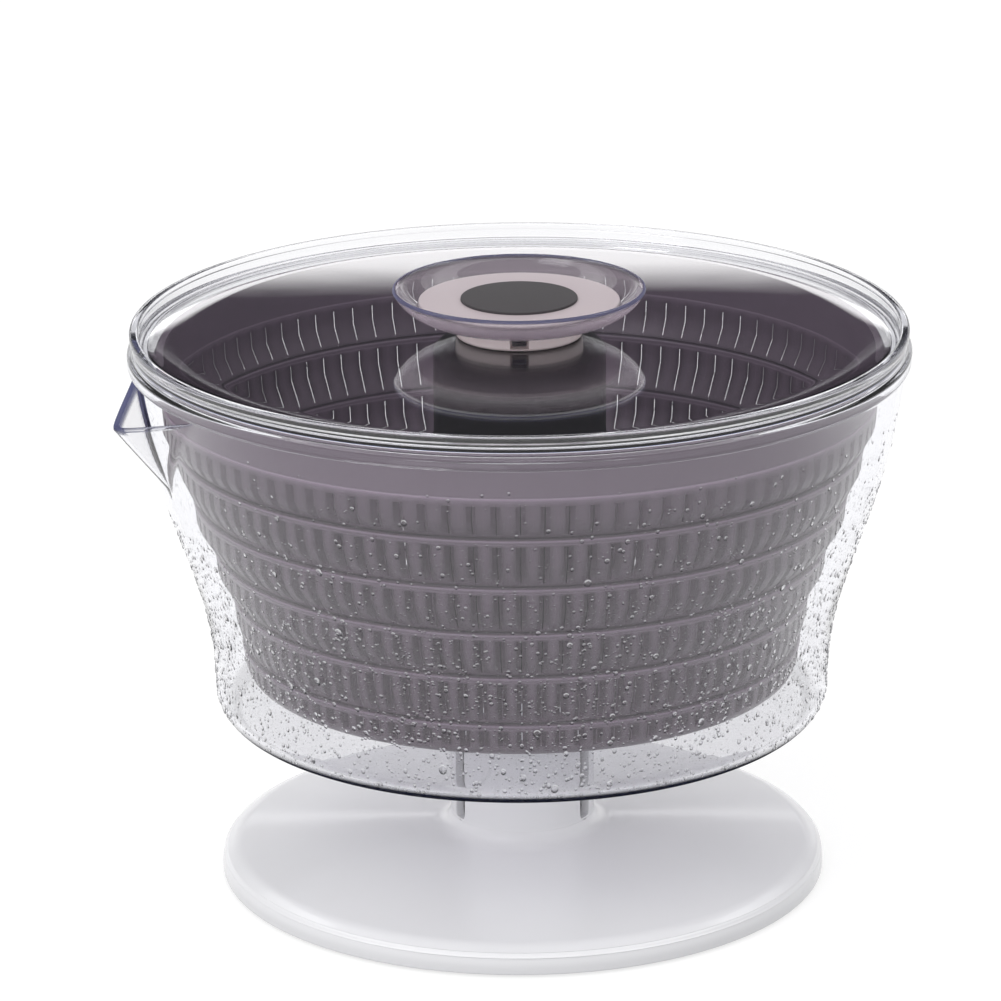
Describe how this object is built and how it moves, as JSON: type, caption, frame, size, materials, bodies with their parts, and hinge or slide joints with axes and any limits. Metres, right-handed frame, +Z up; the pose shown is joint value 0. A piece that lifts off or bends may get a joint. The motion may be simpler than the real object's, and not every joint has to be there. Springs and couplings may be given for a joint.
{
  "type": "salad spinner",
  "caption": "Press-down salad spinner: clear spouted bowl on a white stem and disc base, slotted smoky basket on a dark column, clear lid with dish knob.",
  "frame": {"origin": "on the table, under the middle of the base, on the axis of the stem", "axes": "+Z up along the stem; -Y the front of the picture's view; the spout points to -X and 20 degrees forward"},
  "size_m": [0.271, 0.2684, 0.21],
  "materials": {
    "white_plastic": "glossy moulded ABS",
    "grey_rubber": "matt non-slip rubber",
    "clear_plastic": "clear polished SAN",
    "smoky_plastic": "smoky grey translucent moulding",
    "charcoal_plastic": "charcoal satin moulding",
    "satin_plastic": "satin warm white moulding",
    "dark_grey_plastic": "dark grey soft-touch",
    "white_acetal": "natural white acetal",
    "steel": "plain stainless steel"
  },
  "bodies": {
    "base": {"base_shell": "white_plastic", "base_cover": "white_plastic", "cover_screws": "steel", "non_slip_ring": "grey_rubber", "drive_nut": "white_acetal", "nut_pins": "steel", "return_spring": "steel", "spring_seat": "steel"},
    "slider": {"bearing_carrier": "white_acetal", "thrust_washer": "white_acetal", "spring_cup": "white_acetal"},
    "drive": {"drive_shaft": "steel", "shaft_clip": "steel", "shaft_foot": "white_acetal", "foot_screw": "steel"},
    "bowl": {"bowl": "clear_plastic", "bowl_tower": "clear_plastic", "socket_bush": "white_acetal", "socket_washer": "white_acetal"},
    "socket": {"drive_socket": "white_acetal", "socket_clip": "steel"},
    "basket": {"basket": "smoky_plastic", "basket_floor": "smoky_plastic", "basket_column": "charcoal_plastic", "column_bush": "white_acetal", "column_washer": "white_acetal", "clutch_ring": "steel", "clutch_rollers": "steel"},
    "lid": {"lid_plate": "clear_plastic", "lid_ring": "clear_plastic", "knob_collar": "satin_plastic", "knob_dish": "clear_plastic", "knob_disc": "satin_plastic", "knob_cap": "dark_grey_plastic"}
  },
  "joints": [
    {"name": "press", "type": "slide", "parent": "base", "child": "slider", "axis": [0, 0, -1], "range_m": [0, 0.04], "stiffness_N_per_m": 500, "springref_m": -0.05, "deforming": ["return_spring"]},
    {"name": "drive_turn", "type": "hinge", "parent": "slider", "child": "drive", "pos_m": [0, 0, 0.15], "axis": [0, 0, 1], "range_deg": [0, 515]},
    {"name": "bowl_lift", "type": "slide", "parent": "slider", "child": "bowl", "axis": [0, 0, 1], "range_m": [0, 0.15]},
    {"name": "socket_turn", "type": "hinge", "parent": "bowl", "child": "socket", "pos_m": [0, 0, 0.17], "axis": [0, 0, 1], "range_deg": [0, 515]},
    {"name": "basket_overrun", "type": "hinge", "parent": "socket", "child": "basket", "pos_m": [0, 0, 0.18], "axis": [0, 0, 1], "continuous": true},
    {"name": "lid_lift", "type": "slide", "parent": "bowl", "child": "lid", "axis": [0, 0, 1], "range_m": [0, 0.12]}
  ],
  "couplings": [
    {"joint": "drive_turn", "follows": "press", "rad_per_m": 224.4},
    {"joint": "socket_turn", "follows": "press", "rad_per_m": 224.4}
  ]
}
